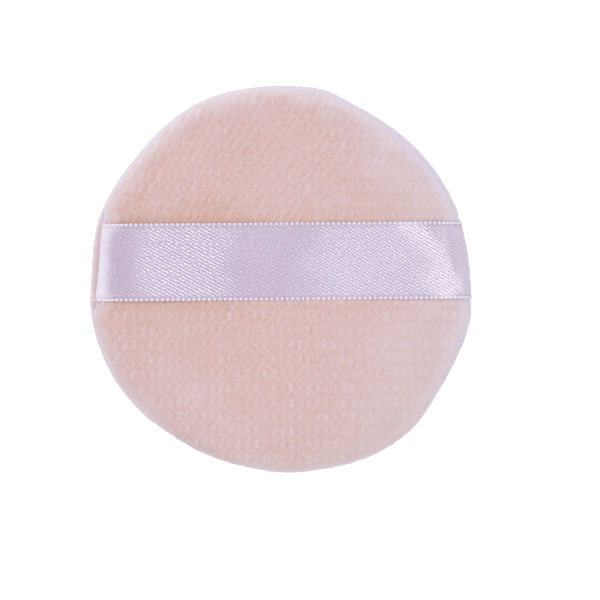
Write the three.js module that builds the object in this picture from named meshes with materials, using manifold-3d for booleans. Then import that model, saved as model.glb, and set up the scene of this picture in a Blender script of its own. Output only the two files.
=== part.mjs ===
// A round velour powder puff: two velour discs sewn together, turned right side out, filled with a foam pad
// and closed by hand. A satin ribbon crosses the back, and both of its ends are caught in the seam, so that
// a finger can slip under it.
// Millimetres, +Z up. The puff lies on its skin side with the ribbon on top and along X. The origin is on the
// table, under the middle of the outline's box.
import * as THREE from 'three';
import { LoftGeometry } from 'three/addons/geometries/LoftGeometry.js';
import { mergeVertices } from 'three/addons/utils/BufferGeometryUtils.js';
import Module from 'manifold-3d';

const wasm = await Module();
wasm.setup();

// The pad
const PUFF_DIAMETER = 80;
const PUFF_THICKNESS = 13; // table to the crown of the back cover
const SEAM_HEIGHT = 6; // table to the middle of the seam
const FOOT_DEPTH = 0.5; // how deep the skin side's crown is pressed flat where it lies
const EDGE_FULLNESS = 5; // power of the pillow curve outwards: higher is a squarer edge
const CROWN_FULLNESS = 2.2; // power of the pillow curve upwards: higher is a flatter crown
const EDGE_WANDER = 1.2; // how far the sewn edge wanders out of a true circle at most
// Its share of that, out or in, at the twelve hours, counter-clockwise from +X
const WANDER_PATTERN = [-0.7, -0.6, -0.7, 0.4, 0.5, -0.1, -0.15, 0.55, -0.35, 0, 1, -0.3];
const WANDER_FADE = 4; // power of the radius by which the wander fades towards the middle

// The covers and their seam
const CLOTH = 1; // velour with its pile
const SEAM_ALLOWANCE = 5; // cloth turned in behind the seam
const SEAM_GROOVE = 1.6; // how deep the seam draws the edge in
const SEAM_GROOVE_REACH = 1.3; // height over which the groove fades out
const TURNING_GAP = 30; // stretch of the seam left open to turn the puff, then closed by hand
const TURNING_GAP_ANGLE = -Math.PI / 2; // where the middle of that stretch is

// The ribbon
const RIBBON_WIDTH = 16;
const RIBBON_THICKNESS = 0.25;
const RIBBON_OFFSET = 3.9; // from the puff's middle to the ribbon's middle, towards +Y
const RIBBON_TAIL = 4.5; // the end that is caught in the seam

// The sewing
const THREAD = 0.3;
const STITCH_INSET = 2.3; // from the seam's edge in to the line of stitches
const STITCH_LENGTH = 4;
const LADDER_PITCH = 4.5; // between the rungs of the hand-sewn ladder stitch
const KNOT = 0.7;
const THREAD_TAIL = 2.5; // what is left beyond the first and last stitch

// Clearances
const CLOTH_CLEARANCE = 0.15; // cloth to cloth
const THREAD_CLEARANCE = 0.1; // thread to thread, and thread to cloth
const FILL_CLEARANCE = 0.3; // foam to everything round it

// Facets
const TURN_STEPS = 56; // round the puff
const OUTER_STEPS = 11; // up a cover's outside
const INNER_STEPS = 7; // up a cover's inside and up the foam
const THREAD_SIDES = 4;
const WELD = 1e-3; // vertices this close are one

const EDGE_RADIUS = PUFF_DIAMETER / 2;
const SEAM_FACE = CLOTH_CLEARANCE / 2; // from the seam's middle plane to either cover
const ALLOWANCE_TOP = SEAM_FACE + CLOTH;
const FLOAT_LEVEL = ALLOWANCE_TOP + THREAD_CLEARANCE + THREAD / 2; // where thread lies on an allowance
const KNOT_LEVEL = ALLOWANCE_TOP + THREAD_CLEARANCE + KNOT / 2;

// The two halves of the pillow, measured away from the seam's middle plane
const BACK_HALF = { height: PUFF_THICKNESS - SEAM_HEIGHT, pressed: 0 };
const FRONT_HALF = { height: SEAM_HEIGHT + FOOT_DEPTH, pressed: FOOT_DEPTH };

// The groove and the rounding take some of the pillow curve's radius, so the curve starts that much larger
const bulge = wall(BACK_HALF, 0, SEAM_FACE, OUTER_STEPS, EDGE_RADIUS);
const PILLOW_RADIUS = 2 * EDGE_RADIUS - Math.max(...bulge.map((point) => point.x));
const SEAM_RADIUS = PILLOW_RADIUS - grooveAt(SEAM_FACE);
const STITCH_RADIUS = SEAM_RADIUS - STITCH_INSET;

const velour = new THREE.MeshStandardMaterial({ name: 'velour', color: 0xdab8b5, roughness: 0.95, metalness: 0 });
const satin = new THREE.MeshStandardMaterial({ name: 'satin', color: 0xd9cde2, roughness: 0.4, metalness: 0 });
const foam = new THREE.MeshStandardMaterial({ name: 'foam', color: 0xf1ede4, roughness: 0.9, metalness: 0 });
const yarn = new THREE.MeshStandardMaterial({ name: 'yarn', color: 0xd6aaa8, roughness: 0.7, metalness: 0 });

// How far the seam draws the edge in at a height above its middle plane
function grooveAt(height) {
  return SEAM_GROOVE * Math.exp(-height / SEAM_GROOVE_REACH);
}

// The edge's wander from a true circle at an angle, as a smooth closed curve through the twelve hours
function wanderAt(angle) {
  const hours = WANDER_PATTERN.length;
  const turn = THREE.MathUtils.euclideanModulo(angle / (2 * Math.PI), 1) * hours;
  const hour = Math.floor(turn);
  const near = [-1, 0, 1, 2].map((step) => new THREE.Vector2(step, WANDER_PATTERN[(hour + step + hours) % hours]));
  const share = new THREE.SplineCurve(near).getPoint((1 + turn - hour) / (near.length - 1)).y;
  return EDGE_WANDER * share;
}

// Moves a point of the true round puff to where it lies in the uneven one
function settle(point) {
  const radius = Math.hypot(point.x, point.y);
  const share = wanderAt(Math.atan2(point.y, point.x)) / EDGE_RADIUS;
  const swell = 1 + share * (radius / EDGE_RADIUS) ** WANDER_FADE;
  return point.set(point.x * swell, point.y * swell, point.z);
}

// One wall of a half pillow from a height up to its crown, as radius and height above the seam's middle plane.
// An inset moves the wall inwards, so a negative one lies outside the cover.
function wall(half, inset, from, steps, radius = PILLOW_RADIUS) {
  const crown = half.height - inset;
  const angleAt = (height) => Math.asin(Math.min(1, height / crown) ** (CROWN_FULLNESS / 2));
  const first = angleAt(from);
  const last = angleAt(crown - half.pressed);
  const points = [];
  for (let step = 0; step <= steps; step++) {
    const angle = first + ((last - first) * step) / steps;
    const height = crown * Math.sin(angle) ** (2 / CROWN_FULLNESS);
    const reach = Math.max(0, Math.cos(angle)) ** (2 / EDGE_FULLNESS);
    points.push(new THREE.Vector2((radius - inset - grooveAt(height)) * reach, height));
  }
  const top = points[steps];
  if (half.pressed > 0) points.push(new THREE.Vector2(0, top.y));
  else top.x = 0;
  return points;
}

// A closed mesh as a solid that can be cut and joined
function solidOf(geometry) {
  const bare = new THREE.BufferGeometry();
  bare.setAttribute('position', geometry.getAttribute('position'));
  bare.setIndex(geometry.index);
  const welded = mergeVertices(bare, WELD);
  const corners = welded.index.array;
  const kept = [];
  for (let i = 0; i < corners.length; i += 3) {
    const [a, b, c] = corners.slice(i, i + 3);
    if (a !== b && b !== c && c !== a) kept.push(a, b, c);
  }
  return new wasm.Manifold(
    new wasm.Mesh({
      numProp: 3,
      vertProperties: new Float32Array(welded.attributes.position.array),
      triVerts: new Uint32Array(kept),
    }),
  );
}

// A solid as a named piece of the scene
function piece(name, solid, material) {
  const made = solid.getMesh();
  const geometry = new THREE.BufferGeometry();
  geometry.setAttribute('position', new THREE.BufferAttribute(made.vertProperties, 3));
  geometry.setIndex(new THREE.BufferAttribute(made.triVerts, 1));
  geometry.computeVertexNormals();
  const mesh = new THREE.Mesh(geometry, material);
  mesh.name = name;
  return mesh;
}

// Turns a half section round the puff's axis and settles it into the uneven outline
function turned(section) {
  const geometry = new THREE.LatheGeometry(section, TURN_STEPS).rotateX(Math.PI / 2);
  const places = geometry.getAttribute('position');
  const point = new THREE.Vector3();
  for (let i = 0; i < places.count; i++) {
    settle(point.fromBufferAttribute(places, i));
    places.setXYZ(i, point.x, point.y, point.z);
  }
  return solidOf(geometry);
}

// Half sections above and below the seam, on the table's height scale
const above = (points) => points.map((p) => new THREE.Vector2(p.x, SEAM_HEIGHT + p.y));
const below = (points) => points.map((p) => new THREE.Vector2(p.x, SEAM_HEIGHT - p.y)).reverse();

// A cover's half section: inside of the cloth, the allowance turned in behind the seam, outside of the cloth
function coverSection(half) {
  const allowanceEnd = SEAM_RADIUS - SEAM_ALLOWANCE;
  return [
    ...wall(half, CLOTH, ALLOWANCE_TOP, INNER_STEPS).reverse(),
    new THREE.Vector2(allowanceEnd, ALLOWANCE_TOP),
    new THREE.Vector2(allowanceEnd, SEAM_FACE),
    ...wall(half, 0, SEAM_FACE, OUTER_STEPS),
  ];
}

// The ribbon's half section: it lies on the back cover, turns into the seam and ends between the allowances
function ribbonSection() {
  const half = RIBBON_THICKNESS / 2;
  const tailEnd = SEAM_RADIUS - RIBBON_TAIL;
  const outside = wall(BACK_HALF, -CLOTH_CLEARANCE - RIBBON_THICKNESS, half, OUTER_STEPS);
  return [
    ...wall(BACK_HALF, -CLOTH_CLEARANCE, half, OUTER_STEPS).reverse(),
    new THREE.Vector2(tailEnd, half),
    new THREE.Vector2(tailEnd, -half),
    new THREE.Vector2(outside[0].x, -half),
    ...outside,
  ];
}

// The foam's half section: it fills both covers
function foamSection() {
  const inset = CLOTH + FILL_CLEARANCE;
  return [
    ...below(wall(FRONT_HALF, inset, 0, INNER_STEPS).slice(1)),
    ...above(wall(BACK_HALF, inset, 0, INNER_STEPS)),
  ];
}

// A square-cornered ring that cuts in from beyond the edge to a radius, as far up as down from the seam
function edgeSlot(inner, reach) {
  const outer = EDGE_RADIUS + EDGE_WANDER + CLOTH;
  const corners = [
    [inner, -reach],
    [outer, -reach],
    [outer, reach],
    [inner, reach],
    [inner, -reach],
  ];
  return turned(above(corners.map(([radius, height]) => new THREE.Vector2(radius, height))));
}

// An upright slab along the ribbon, for what is as wide as the ribbon or a clearance wider
function ribbonSlab(clearance) {
  const width = RIBBON_WIDTH + 2 * clearance;
  const slab = new THREE.BoxGeometry(2 * PUFF_DIAMETER, width, 2 * PUFF_THICKNESS);
  return solidOf(slab.translate(0, RIBBON_OFFSET, SEAM_HEIGHT));
}

// The room that the ribbon's ends press into the covers where they pass through the seam
function ribbonRoom() {
  const slot = edgeSlot(SEAM_RADIUS - RIBBON_TAIL - CLOTH_CLEARANCE, RIBBON_THICKNESS / 2 + CLOTH_CLEARANCE);
  return slot.intersect(ribbonSlab(CLOTH_CLEARANCE));
}

// The slot round the foam that takes the allowances, the stitches and the knots
function foamSlot() {
  return edgeSlot(SEAM_RADIUS - SEAM_ALLOWANCE - FILL_CLEARANCE, KNOT_LEVEL + KNOT / 2 + FILL_CLEARANCE);
}

// A point on the line of stitches: an angle round the puff, then millimetres along, outwards and up from there
function seamPoint(angle, along, outwards, up) {
  const there = angle + along / STITCH_RADIUS;
  const radius = STITCH_RADIUS + outwards;
  return settle(new THREE.Vector3(radius * Math.cos(there), radius * Math.sin(there), SEAM_HEIGHT + up));
}

// Thread along a path of straight runs, mitred where they meet
function threadAlong(path) {
  const heading = path.slice(1).map((point, i) => point.clone().sub(path[i]).normalize());
  const side = new THREE.Vector3(0, 0, 1).cross(heading[0]).normalize();
  const ring = [];
  for (let i = 0; i < THREAD_SIDES; i++) {
    const turn = ((i + 0.5) * 2 * Math.PI) / THREAD_SIDES;
    ring.push(side.clone().multiplyScalar(THREAD / 2).applyAxisAngle(heading[0], turn).add(path[0]));
  }
  const rings = [ring];
  for (let i = 1; i < path.length; i++) {
    const next = heading[Math.min(i, heading.length - 1)];
    const mitre = new THREE.Plane().setFromNormalAndCoplanarPoint(
      heading[i - 1].clone().add(next).normalize(),
      path[i],
    );
    rings.push(rings[i - 1].map((v) => new THREE.Ray(v, heading[i - 1]).intersectPlane(mitre, new THREE.Vector3())));
  }
  return solidOf(new LoftGeometry(rings, { capStart: true, capEnd: true }));
}

// The angles at which the machine's needle went through, all round but for the turning gap
function stitchAngles() {
  const sewn = 2 * Math.PI - TURNING_GAP / STITCH_RADIUS;
  const count = Math.round((sewn * STITCH_RADIUS) / STITCH_LENGTH);
  const start = TURNING_GAP_ANGLE + (2 * Math.PI - sewn) / 2;
  return Array.from({ length: count }, (_, i) => start + (sewn * (i + 0.5)) / count);
}

// The angles of the rungs of the hand-sewn ladder stitch across the turning gap
function rungAngles() {
  const count = Math.round(TURNING_GAP / LADDER_PITCH);
  const step = LADDER_PITCH / STITCH_RADIUS;
  return Array.from({ length: count }, (_, i) => TURNING_GAP_ANGLE + step * (i - (count - 1) / 2));
}

// One thread of the lockstitch. side is 1 for the needle thread, which lies on the back cover's allowance, and
// -1 for the bobbin thread under the front cover's. At each stitch it dips between the covers and turns
// through the other thread's loop, so the two hook together at right angles.
function lockstitchThread(side) {
  const hook = THREAD + THREAD_CLEARANCE; // from the middle of the stitch to a leg of the loop
  const lean = hook / Math.SQRT2; // the loops stand at 45 degrees to the seam, one each way
  const dip = hook / 2; // past the middle plane, so the loops clear each other
  const angles = stitchAngles();
  const path = [seamPoint(angles[0], -lean - THREAD_TAIL, -side * lean, side * FLOAT_LEVEL)];
  for (const angle of angles) {
    path.push(
      seamPoint(angle, -lean, -side * lean, side * FLOAT_LEVEL),
      seamPoint(angle, -lean, -side * lean, -side * dip),
      seamPoint(angle, lean, side * lean, -side * dip),
      seamPoint(angle, lean, side * lean, side * FLOAT_LEVEL),
    );
  }
  path.push(seamPoint(angles.at(-1), lean + THREAD_TAIL, side * lean, side * FLOAT_LEVEL));
  return threadAlong(path);
}

// The ladder stitch: it runs inside one cover's fold, crosses to the other's, and so on, with a knot at each end
function ladderThread() {
  const angles = rungAngles();
  const path = [seamPoint(angles[0], -THREAD_TAIL, 0, FLOAT_LEVEL)];
  let side = 1;
  for (const angle of angles) {
    path.push(seamPoint(angle, 0, 0, side * FLOAT_LEVEL), seamPoint(angle, 0, 0, -side * FLOAT_LEVEL));
    side = -side;
  }
  path.push(seamPoint(angles.at(-1), THREAD_TAIL, 0, side * FLOAT_LEVEL));
  return threadAlong(path).add(knotAt(path[0], 1)).add(knotAt(path.at(-1), side));
}

function knotAt(end, side) {
  const ball = new THREE.IcosahedronGeometry(KNOT / 2, 1);
  return solidOf(ball.translate(end.x, end.y, SEAM_HEIGHT + side * KNOT_LEVEL));
}

// Upright square cutters for the holes that the threads pass through, of one size, at a list of angles
function holeCutters(angles, size, turn) {
  const cutters = angles.map((angle) => {
    const place = seamPoint(angle, 0, 0, 0);
    const cutter = new THREE.BoxGeometry(size, size, 2 * FLOAT_LEVEL).rotateZ(angle + turn);
    return solidOf(cutter.translate(place.x, place.y, place.z));
  });
  return wasm.Manifold.union(cutters);
}

function stitchHoles() {
  const loop = 2 * (THREAD + THREAD_CLEARANCE) + THREAD; // across both legs of a lockstitch loop
  const machine = holeCutters(stitchAngles(), loop + 2 * THREAD_CLEARANCE, Math.PI / 4);
  const hand = holeCutters(rungAngles(), THREAD + 2 * THREAD_CLEARANCE, 0);
  return machine.add(hand);
}

const holes = stitchHoles();
const openings = holes.add(ribbonRoom());

const puff = new THREE.Group();
puff.add(
  piece('front_cover', turned(below(coverSection(FRONT_HALF))).subtract(openings), velour),
  piece('back_cover', turned(above(coverSection(BACK_HALF))).subtract(openings), velour),
  piece('foam_core', turned(foamSection()).subtract(foamSlot()), foam),
  piece('ribbon_strap', turned(above(ribbonSection())).intersect(ribbonSlab(0)).subtract(holes), satin),
  piece('seam_needle_thread', lockstitchThread(1), yarn),
  piece('seam_bobbin_thread', lockstitchThread(-1), yarn),
  piece('closing_thread', ladderThread(), yarn),
);

// The uneven outline's box is centred on the origin
const middle = new THREE.Box3().setFromObject(puff).getCenter(new THREE.Vector3());
puff.position.set(-middle.x, -middle.y, 0);

const part = new THREE.Group();
part.add(puff);

export default part;
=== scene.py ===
"""A round velour powder puff with a satin ribbon strap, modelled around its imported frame."""

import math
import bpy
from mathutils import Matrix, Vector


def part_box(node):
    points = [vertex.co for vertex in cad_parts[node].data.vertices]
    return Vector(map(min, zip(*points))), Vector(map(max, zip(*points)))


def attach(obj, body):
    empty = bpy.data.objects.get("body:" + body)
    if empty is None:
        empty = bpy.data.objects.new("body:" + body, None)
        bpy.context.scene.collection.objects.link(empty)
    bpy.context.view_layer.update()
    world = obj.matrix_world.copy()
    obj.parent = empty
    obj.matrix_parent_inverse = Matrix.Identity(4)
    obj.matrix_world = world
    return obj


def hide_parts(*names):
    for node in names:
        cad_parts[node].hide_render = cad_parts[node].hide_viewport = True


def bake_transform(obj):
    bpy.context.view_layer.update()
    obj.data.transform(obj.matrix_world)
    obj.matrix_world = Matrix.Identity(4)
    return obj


bl_info = {
    "name": "Velour Powder Puff",
    "version": (1, 0, 0),
    "blender": (4, 5, 0),
    "location": "View3D > Sidebar > Puff",
    "description": "Models a velour powder puff and its satin ribbon strap around the packed frame",
    "category": "Add Mesh",
}

import bpy
import numpy as np
from bpy.props import FloatProperty, FloatVectorProperty, PointerProperty
from bpy.types import Operator, Panel, PropertyGroup
from mathutils import Matrix, Vector

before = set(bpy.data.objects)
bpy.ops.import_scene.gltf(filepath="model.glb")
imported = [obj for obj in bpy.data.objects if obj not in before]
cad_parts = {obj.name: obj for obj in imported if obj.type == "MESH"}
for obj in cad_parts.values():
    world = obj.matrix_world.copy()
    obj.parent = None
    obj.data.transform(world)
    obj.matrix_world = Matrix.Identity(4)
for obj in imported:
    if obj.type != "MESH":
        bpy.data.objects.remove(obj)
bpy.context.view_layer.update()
MM = 0.001
TURN = 2 * math.pi
QUARTER = TURN / 4

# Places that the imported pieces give, in metres
BACK_POINTS = [point.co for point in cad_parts["back_cover"].data.vertices]
CROWN = max(BACK_POINTS, key=lambda place: place.z).copy()
AXIS = np.array(CROWN[:2])
SEAM_LEVEL = (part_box("back_cover")[0].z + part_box("front_cover")[1].z) / 2
BACK_HALF = CROWN.z - SEAM_LEVEL
STRAP_LOW, STRAP_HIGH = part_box("ribbon_strap")
STRAP_WIDTH = STRAP_HIGH.y - STRAP_LOW.y
STRAP_HALF = STRAP_WIDTH / 2
STRAP_MIDDLE = (STRAP_HIGH.y + STRAP_LOW.y) / 2

# The sewn edge's share of its wander at the twelve hours, counter-clockwise from +X
WANDER_PATTERN = [-0.7, -0.6, -0.7, 0.4, 0.5, -0.1, -0.15, 0.55, -0.35, 0, 1, -0.3]
WANDER_FADE = 4
# Bulges and dents of the sewn edge between the hours: direction and half-width in degrees, height in mm
EDGE_BUMPS = [
    (349, 14, 0.95), (12, 12, 0.4), (78, 7, 0.65), (114, 8, 0.4), (136, 7, -0.35),
    (163, 10, 0.6), (189, 9, 0.45), (290, 16, -0.3), (312, 7, 0.4)]
# Darker, warmer patches of the pile: middle and reach in mm, share; the broad one low at the left is painted
# shade
WARM_PATCHES_AND_SHADE = [
    (-9.6, 29, 6, 6, 0.16), (-16, 16, 5, 3, 0.15), (25, 16.5, 4, 3, 0.15), (-29, 20, 3, 4, 0.1),
    (-22, -13, 13, 8, 0.09)]
# Places near the edge where the pile lies brushed over and is painted cooler and paler, a painted sheen:
# direction and half-width in degrees, share
BRUSHED_SHEEN_PLACES = [(110, 18, 0.35), (235, 28, 0.12), (295, 18, 0.15)]
# Soft patches of brushed pile with its painted sheen: size in mm and seed
BRUSHED_SHEEN_PATCHES = [(13, 611), (8, 707), (5, 171)]
# Where the rim's painted sheen is weakest: direction and half-width in degrees
WEAKEST_SHEEN = (241, 11)

# Facets
PROFILE_STEPS = 22
SPIN_STEPS = 96
WALL_STEPS = 600
CLOTH_VOXEL = 2.4 * MM
CLOTH_LEVELS = 3
INNER_SHARE = 0.05
FOAM_VOXEL = 0.8 * MM
RIBBON_CELL = 0.2 * MM
RIBBON_CELL_ACROSS = 0.16 * MM
# Edges sharper than this stay sharp, and points nearer than this are one
SMOOTH_ANGLE = math.radians(50)
TOUCHING = 0.01 * MM

# Half a pile tuft's share of its wale and its course, and the pile's mean height
TUFT_WIDTH = 0.24
TUFT_LENGTH = 0.37
MEAN_PILE = 0.28
# How far the pile leans to the right of the wales, below the ribbon and above it
LOWER_LEAN = math.radians(6)
UPPER_LEAN = math.radians(20)
# Width over which the ribbon's bed rises to the pile beside it
BED_EDGE = 0.3 * MM

# The slot in the foam for the seam allowances: half its height, and its room behind them
SLOT_RISE = 2.2 * MM
SLOT_ROOM = 0.8 * MM
# How rough the cut foam is, as a share of its facets
FOAM_ROUGHNESS = 0.3

# A weft loop: facets round and along, shape along, across and up, shares of its inset and its lift
BEAD_FACETS = (8, 6)
BEAD_SHAPE = (0.9, 1.1, 0.75)
BEAD_INSET = 0.34
BEAD_LIFT = 0.3
# Step ahead by which a loop finds its direction
BEAD_AHEAD = 0.2 * MM

# Cloth simulation
SWELL_FRAMES = 20
SWELL_PRESSURE = 12.0
SWELL_CAP = 1.2 * MM
SEAM_HOLD = 1.2 * MM
# Steps in which the stuffing finds the pillow curve
NEWTON_STEPS = 12

# Studio, in metres and watts: each lamp's place, size, power and colour
FLOOR_SIZE = 4.0
LAMPS = {
    "top_lamp": ((-0.26, 0.4, 0.78), 0.7, 4.4, "fffafa"),
    "front_lamp": ((0.25, -0.5, 0.75), 0.7, 3.2, "ffffff"),
}
SKY_STRENGTH = 0.45
# Extra white that only the camera and mirrors see in the sky and on the floor
SKY_GLOW = 0.6
FLOOR_GLOW = 0.5

# Steps that keep neighbouring cells apart, and the factors that scatter them
CELL_STEP = 57
WALE_STEP = 131
KEY_FACTOR, SEED_FACTOR, SPREAD = 12.9898, 78.233, 43758.5453


def linear(code):
    """An sRGB hex colour as linear red, green, blue and alpha."""
    parts = [int(code[i:i + 2], 16) / 255 for i in (0, 2, 4)]
    return (*[p / 12.92 if p <= 0.04045 else ((p + 0.055) / 1.055) ** 2.4 for p in parts], 1.0)


def number(name, default, description, **limits):
    """A plain number that a user can change."""
    return FloatProperty(name=name, description=description, default=default, **limits)


def length(name, millimetres, description, lowest=0):
    """A length that a user can change."""
    return number(name, millimetres * MM, description, min=lowest * MM, unit="LENGTH", precision=5)


def angle(name, degrees, description):
    """An angle that a user can change."""
    return number(name, math.radians(degrees), description, subtype="ANGLE")


def colour(name, code, description):
    """A colour that a user can change."""
    return FloatVectorProperty(
        name=name, description=description, default=linear(code)[:3], size=3, min=0.0, max=1.0,
        subtype="COLOR")


class PuffSizes(PropertyGroup):
    """The pad, its velour covers and their seam."""
    edge_radius: length("Edge radius", 40, "From the puff's axis to its sewn edge")
    foot_depth: length("Foot depth", 0.5, "How deep the skin side is pressed flat where it lies")
    edge_fullness: number("Edge fullness", 5.0, "Power of the pillow curve outwards", min=1.0)
    crown_fullness: number("Crown fullness", 2.2, "Power of the pillow curve upwards", min=1.0)
    seam_groove: length("Seam groove", 1.6, "How deep the seam draws the edge in")
    groove_reach: length("Groove reach", 1.3, "Height over which the groove fades out")
    edge_wander: length("Edge wander", 1.2, "How far the edge wanders out of a true circle at most")
    cloth: length("Cloth", 0.9, "Thickness of the velour with its pile")
    allowance: length("Seam allowance", 5, "Cloth turned in behind the seam")
    seam_gap: length("Seam gap", 0.15, "Room between the two covers at the seam")
    swell_room: length("Swell room", 0.45, "How much smaller the pad starts before it swells")
    stuffing: number(
        "Stuffing", 0.6, "How far the filling brings the pad to the full pillow curve", min=0.0, max=1.0,
        subtype="FACTOR")
    stitch: length("Stitch", 4, "Length of one stitch of the seam")
    pucker: length("Pucker", 0.2, "How much deeper the seam draws in at each stitch")
    pucker_reach: length("Pucker reach", 0.9, "Height over which the puckers fade out")
    lump: length("Lump", 0.14, "How uneven the filling leaves the covers")
    wale: length("Wale", 1.83, "Width of one column of pile tufts")
    course: length("Course", 3.0, "Length of one pile tuft along its column")
    pile_relief: length("Pile relief", 0.1, "Height of the tufts over the ground between them")
    # The rim is where the velour's painted sheen lies
    rim: length("Rim", 3.8, "Width of the rim where the pile is seen from the side")
    foam_inset: length("Foam inset", 1.6, "From the puff's outline to the foam pad")


class RibbonSizes(PropertyGroup):
    """The satin ribbon strap."""
    thickness: length("Thickness", 0.25, "Thickness of the woven ribbon")
    rest_gap: length("Rest gap", 0.05, "Room between the ribbon and the velour below it")
    press: length("Press", 0.2, "How far the ribbon presses the velour in")
    left_pull: length("Left pull", 0.7, "How far the corners of the ribbon's left end draw the edge in")
    left_bow: length("Left bow", 0.5, "How much further the middle of that end does, which runs straight")
    right_bow: length("Right bow", 0.3, "How far the middle of the ribbon's right end draws the edge in")
    left_slope: angle("Left slope", 36, "How steeply the taut ribbon runs down to the seam at its left end")
    right_slope: angle("Right slope", 42, "How steeply it does at its right end")
    right_twist: angle("Right twist", 6, "How much less steeply at the upper corner of that end")
    left_sink: length("Left sink", 0.3, "How far inside the edge the taut ribbon meets it on the left", -1)
    right_sink: length("Right sink", -0.2, "How far inside it does on the right", -1)
    foot_rise: length("Foot rise", 1.4, "How far above the seam it does")
    bend: length("Bend", 1.2, "How softly the ribbon bends from the crown to its slopes")
    end_fade: length("End fade", 3.5, "Width beside the ribbon over which its pull fades out")
    pull_drop: length("Pull drop", 0.7, "Height below the seam over which its pull fades out")
    tail: length("Tail", 4.5, "Ribbon caught in the seam at either end")
    falling_run: length("Falling twill, along", 1.41, "Spacing of the falling twill lines along the ribbon")
    falling_rise: length("Falling twill, across", 0.75, "Spacing of the falling twill lines across it")
    rising_run: length("Rising twill, along", 0.93, "Spacing of the rising twill lines along the ribbon")
    rising_rise: length("Rising twill, across", 0.7, "Spacing of the rising twill lines across it")
    weave_relief: length("Weave relief", 0.02, "Height of the satin floats")
    float_length: length("Float length", 0.6, "Length of the floats that a twill line is broken into")
    bead_pitch: length("Bead pitch", 1.08, "Spacing of the weft loops along the selvedge")
    bead: length("Bead", 0.7, "Width of one weft loop of the selvedge")


class PuffColours(PropertyGroup):
    """Colours of the cloth, the ribbon, the foam and the thread."""
    velour_tip: colour("Velour tips", "dfcace", "Pale tips of the velour's pile")
    velour_ground: colour("Velour ground", "cca698", "Warm ground that shows between the tufts")
    # Painted sheen along the velour's rim
    velour_bloom: colour("Velour bloom", "ece4ec", "Sides of the pile's fibres, seen where the cloth bends")
    # Brushed pile: its cooler, paler colours are a painted sheen
    brushed_sheen_tip: colour("Brushed tips", "e3d6e1", "Cooler tips of pile that lies brushed over")
    brushed_sheen_ground: colour("Brushed ground", "d0b4ae", "Ground between brushed tufts, which cover more of it")
    brushed_bloom: colour("Brushed bloom", "e6e2f1", "Sides of brushed fibres, seen where the cloth bends")
    velour_sheen: colour("Velour sheen", "f4eef6", "Light that the pile scatters at a low angle")
    satin: colour("Satin", "bfb0c6", "Ribbon between its glints")
    # Painted glints of the satin's floats
    satin_glint: colour("Satin glint", "f7f1ff", "Bright floats of the satin")
    satin_shade: colour("Satin shade", "a99ab3", "Gaps between the satin's floats")
    selvedge: colour("Selvedge", "f3effa", "Weft loops along the ribbon's edges")
    foam: colour("Foam", "f1ede4", "Cell walls of the foam pad")
    foam_cell: colour("Foam cell", "cfc6b6", "Open cells of the foam pad")
    thread: colour("Thread", "d6aaa8", "Sewing thread")
    thread_shade: colour("Thread shade", "b98480", "Gaps between the plies of the thread")


class StageSizes(PropertyGroup):
    """The camera and the light."""
    distance: length("Distance", 1200, "From the camera to the puff")
    view_width: length("View width", 124.9, "Width of what the camera sees at the puff")
    aim_right: length("Aim right", 3.95, "How far right of the puff the camera aims")
    aim_down: length("Aim down", 4.37, "How far below the puff the camera aims")
    tilt: angle("Tilt", 6.5, "How far the camera leans over to -X")
    roll: angle("Roll", 0.47, "How far the camera is turned about its view")


# Working in Blender

def pick(*objects):
    """Deselects everything, then selects these objects, the first of them active."""
    bpy.ops.object.select_all(action="DESELECT")
    for obj in objects:
        obj.select_set(True)
    bpy.context.view_layer.objects.active = objects[0]


def edit(obj, chosen=None):
    """Opens an object in edit mode, with all of its vertices selected or the chosen ones."""
    pick(obj)
    bpy.ops.object.mode_set(mode="EDIT")
    bpy.ops.mesh.select_mode(type="VERT")
    bpy.ops.mesh.select_all(action="SELECT" if chosen is None else "DESELECT")
    if chosen is not None:
        bpy.ops.object.mode_set(mode="OBJECT")
        obj.data.vertices.foreach_set("select", np.asarray(chosen, dtype=bool))
        bpy.ops.object.mode_set(mode="EDIT")


def done():
    """Leaves edit mode."""
    bpy.ops.object.mode_set(mode="OBJECT")


def named(obj, name):
    """The object, with its name on itself and its mesh."""
    obj.name = name
    obj.data.name = name
    return obj


def added(primitive, name, **settings):
    """Deselects everything, then adds a primitive under its name."""
    bpy.ops.object.select_all(action="DESELECT")
    primitive(**settings)
    return named(bpy.context.object, name)


def copy_of(obj, name):
    """A copy of an object with its own mesh."""
    made = obj.copy()
    made.data = obj.data.copy()
    bpy.context.collection.objects.link(made)
    return named(made, name)


def finish_with(obj, kind, **settings):
    """Adds a modifier with its settings and applies it."""
    pick(obj)
    modifier = obj.modifiers.new(kind.title(), kind)
    for name, value in settings.items():
        setattr(modifier, name, value)
    bpy.ops.object.modifier_apply(modifier=modifier.name)


def rows_of(vectors, field):
    """A mesh's vectors as rows of x, y and z."""
    flat = np.empty(len(vectors) * 3)
    vectors.foreach_get(field, flat)
    return flat.reshape(-1, 3)


def points_of(obj):
    """The object's vertices as rows of x, y and z."""
    return rows_of(obj.data.vertices, "co")


def normals_of(obj):
    """The object's vertex normals as rows of x, y and z."""
    return rows_of(obj.data.vertex_normals, "vector")


def move_points(obj, places):
    """Puts the object's vertices at these places."""
    obj.data.vertices.foreach_set("co", np.ascontiguousarray(places).ravel())
    obj.data.update()


def keep_values(obj, **looks):
    """Stores a number or a vector for each vertex, which a material reads by its name."""
    for name, values in looks.items():
        kind, field = ("FLOAT", "value") if values.ndim == 1 else ("FLOAT_VECTOR", "vector")
        kept = obj.data.attributes.new(name, kind, "POINT")
        kept.data.foreach_set(field, np.ascontiguousarray(values).ravel())


def both_sides(front, back):
    """A profile from the skin side's middle to the crown, from rows of radius and rise off the seam."""
    return [(r, SEAM_LEVEL - rise) for r, rise in front[::-1]] + [(r, SEAM_LEVEL + rise) for r, rise in back]


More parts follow.
